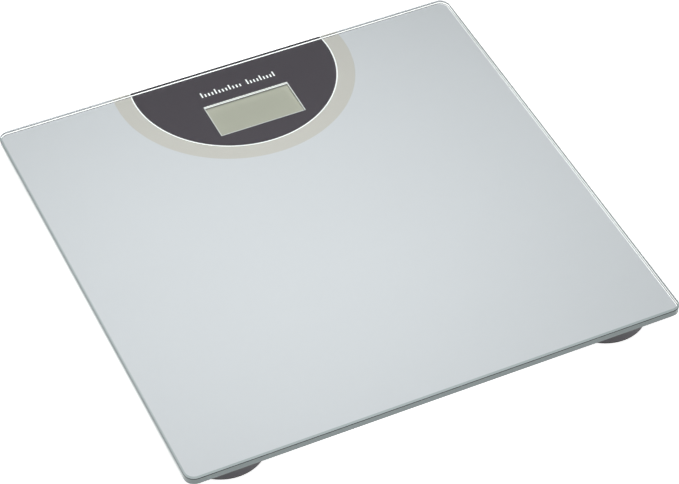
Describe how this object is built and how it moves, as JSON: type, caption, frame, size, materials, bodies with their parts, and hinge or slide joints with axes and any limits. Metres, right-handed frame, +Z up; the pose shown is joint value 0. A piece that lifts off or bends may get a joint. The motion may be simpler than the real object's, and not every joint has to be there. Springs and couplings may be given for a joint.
{
  "type": "digital bathroom scale",
  "caption": "Square tempered-glass bathroom scale with a display window set in a dark half disc at the back edge, standing on round load-cell feet.",
  "frame": {"origin": "on the floor, under the middle of the platform", "axes": "+Z up, +Y towards the edge with the display, +X to the right of a person who stands on it and reads the display"},
  "size_m": [0.3, 0.3, 0.0205],
  "materials": {
    "tempered_glass": "polished clear float glass with a slight green edge",
    "housing_plastic": "fine moulded texture",
    "foam_adhesive": "closed-cell foam tape",
    "white_plastic": "smooth white moulding",
    "display_glass": "liquid crystal cell, grey-green",
    "polarizer_film": "anti-glare grey-green film",
    "reflector_film": "silvered film",
    "connector_rubber": "layered silicone rubber",
    "board_laminate": "green solder mask on glass-fibre laminate",
    "screw_steel": "zinc-plated steel",
    "chip_resin": "black epoxy",
    "capacitor_body": "moulded tantalum case",
    "resistor_body": "ceramic chip",
    "solder": "tin solder",
    "switch_plastic": "moulded nylon",
    "button_plastic": "light grey moulding",
    "cell_steel": "nickel-plated steel",
    "contact_spring_steel": "nickel-plated spring steel",
    "clip_plastic": "natural nylon",
    "bracket_plastic": "moulded ABS",
    "load_cell_steel": "nickel-plated alloy steel",
    "gauge_silicone": "white silicone coat",
    "foot_plastic": "dark grey moulded ABS",
    "foot_rubber": "anti-slip rubber",
    "lead_sleeve": "PVC sleeve",
    "screen_print_silver": "silver ink under the glass",
    "screen_print_charcoal": "dark grey ink under the glass",
    "screen_print_champagne": "warm grey ink under the glass",
    "screen_print_white": "white ink under the glass"
  },
  "bodies": {
    "platform": {"glass_platform": "tempered_glass", "control_housing": "housing_plastic", "housing_tape": "foam_adhesive", "display_frame": "white_plastic", "lcd_cell": "display_glass", "lcd_polarizer": "polarizer_film", "lcd_reflector": "reflector_film", "lcd_connector_front": "connector_rubber", "lcd_connector_back": "connector_rubber", "circuit_board": "board_laminate", "display_frame_screws": "screw_steel", "board_screws": "screw_steel", "controller_chip": "chip_resin", "board_capacitors": "capacitor_body", "board_resistors": "resistor_body", "lead_solder_joints": "solder", "unit_switch": "switch_plastic", "coin_cell": "cell_steel", "battery_contact_negative": "contact_spring_steel", "battery_contact_positive": "contact_spring_steel", "lead_clips": "clip_plastic", "foot_adhesive_front_left": "foam_adhesive", "sensor_bracket_front_left": "bracket_plastic", "load_cell_front_left": "load_cell_steel", "strain_gauge_front_left": "gauge_silicone", "sensor_lead_front_left": "lead_sleeve", "foot_adhesive_front_right": "foam_adhesive", "sensor_bracket_front_right": "bracket_plastic", "load_cell_front_right": "load_cell_steel", "strain_gauge_front_right": "gauge_silicone", "sensor_lead_front_right": "lead_sleeve", "foot_adhesive_back_left": "foam_adhesive", "sensor_bracket_back_left": "bracket_plastic", "load_cell_back_left": "load_cell_steel", "strain_gauge_back_left": "gauge_silicone", "sensor_lead_back_left": "lead_sleeve", "foot_adhesive_back_right": "foam_adhesive", "sensor_bracket_back_right": "bracket_plastic", "load_cell_back_right": "load_cell_steel", "strain_gauge_back_right": "gauge_silicone", "sensor_lead_back_right": "lead_sleeve"},
    "foot_front_left": {"foot_cup_front_left": "foot_plastic", "foot_pad_front_left": "foot_rubber"},
    "foot_front_right": {"foot_cup_front_right": "foot_plastic", "foot_pad_front_right": "foot_rubber"},
    "foot_back_left": {"foot_cup_back_left": "foot_plastic", "foot_pad_back_left": "foot_rubber"},
    "foot_back_right": {"foot_cup_back_right": "foot_plastic", "foot_pad_back_right": "foot_rubber"},
    "battery_door": {"battery_door": "housing_plastic"},
    "unit_button": {"unit_button": "button_plastic", "unit_switch_stem": "switch_plastic"}
  },
  "joints": [
    {"name": "foot_front_left_slide", "type": "slide", "parent": "platform", "child": "foot_front_left", "axis": [0, 0, -1], "range_m": [0, 0.0006]},
    {"name": "foot_front_right_slide", "type": "slide", "parent": "platform", "child": "foot_front_right", "axis": [0, 0, -1], "range_m": [0, 0.0006]},
    {"name": "foot_back_left_slide", "type": "slide", "parent": "platform", "child": "foot_back_left", "axis": [0, 0, -1], "range_m": [0, 0.0006]},
    {"name": "foot_back_right_slide", "type": "slide", "parent": "platform", "child": "foot_back_right", "axis": [0, 0, -1], "range_m": [0, 0.0006]},
    {"name": "battery_door_slide", "type": "slide", "parent": "platform", "child": "battery_door", "axis": [1, 0, 0], "range_m": [0, 0.02]},
    {"name": "unit_button_press", "type": "slide", "parent": "platform", "child": "unit_button", "axis": [0, 0, 1], "range_m": [0, 0.0004], "stiffness_N_per_m": 800, "springref_m": -0.0015}
  ]
}
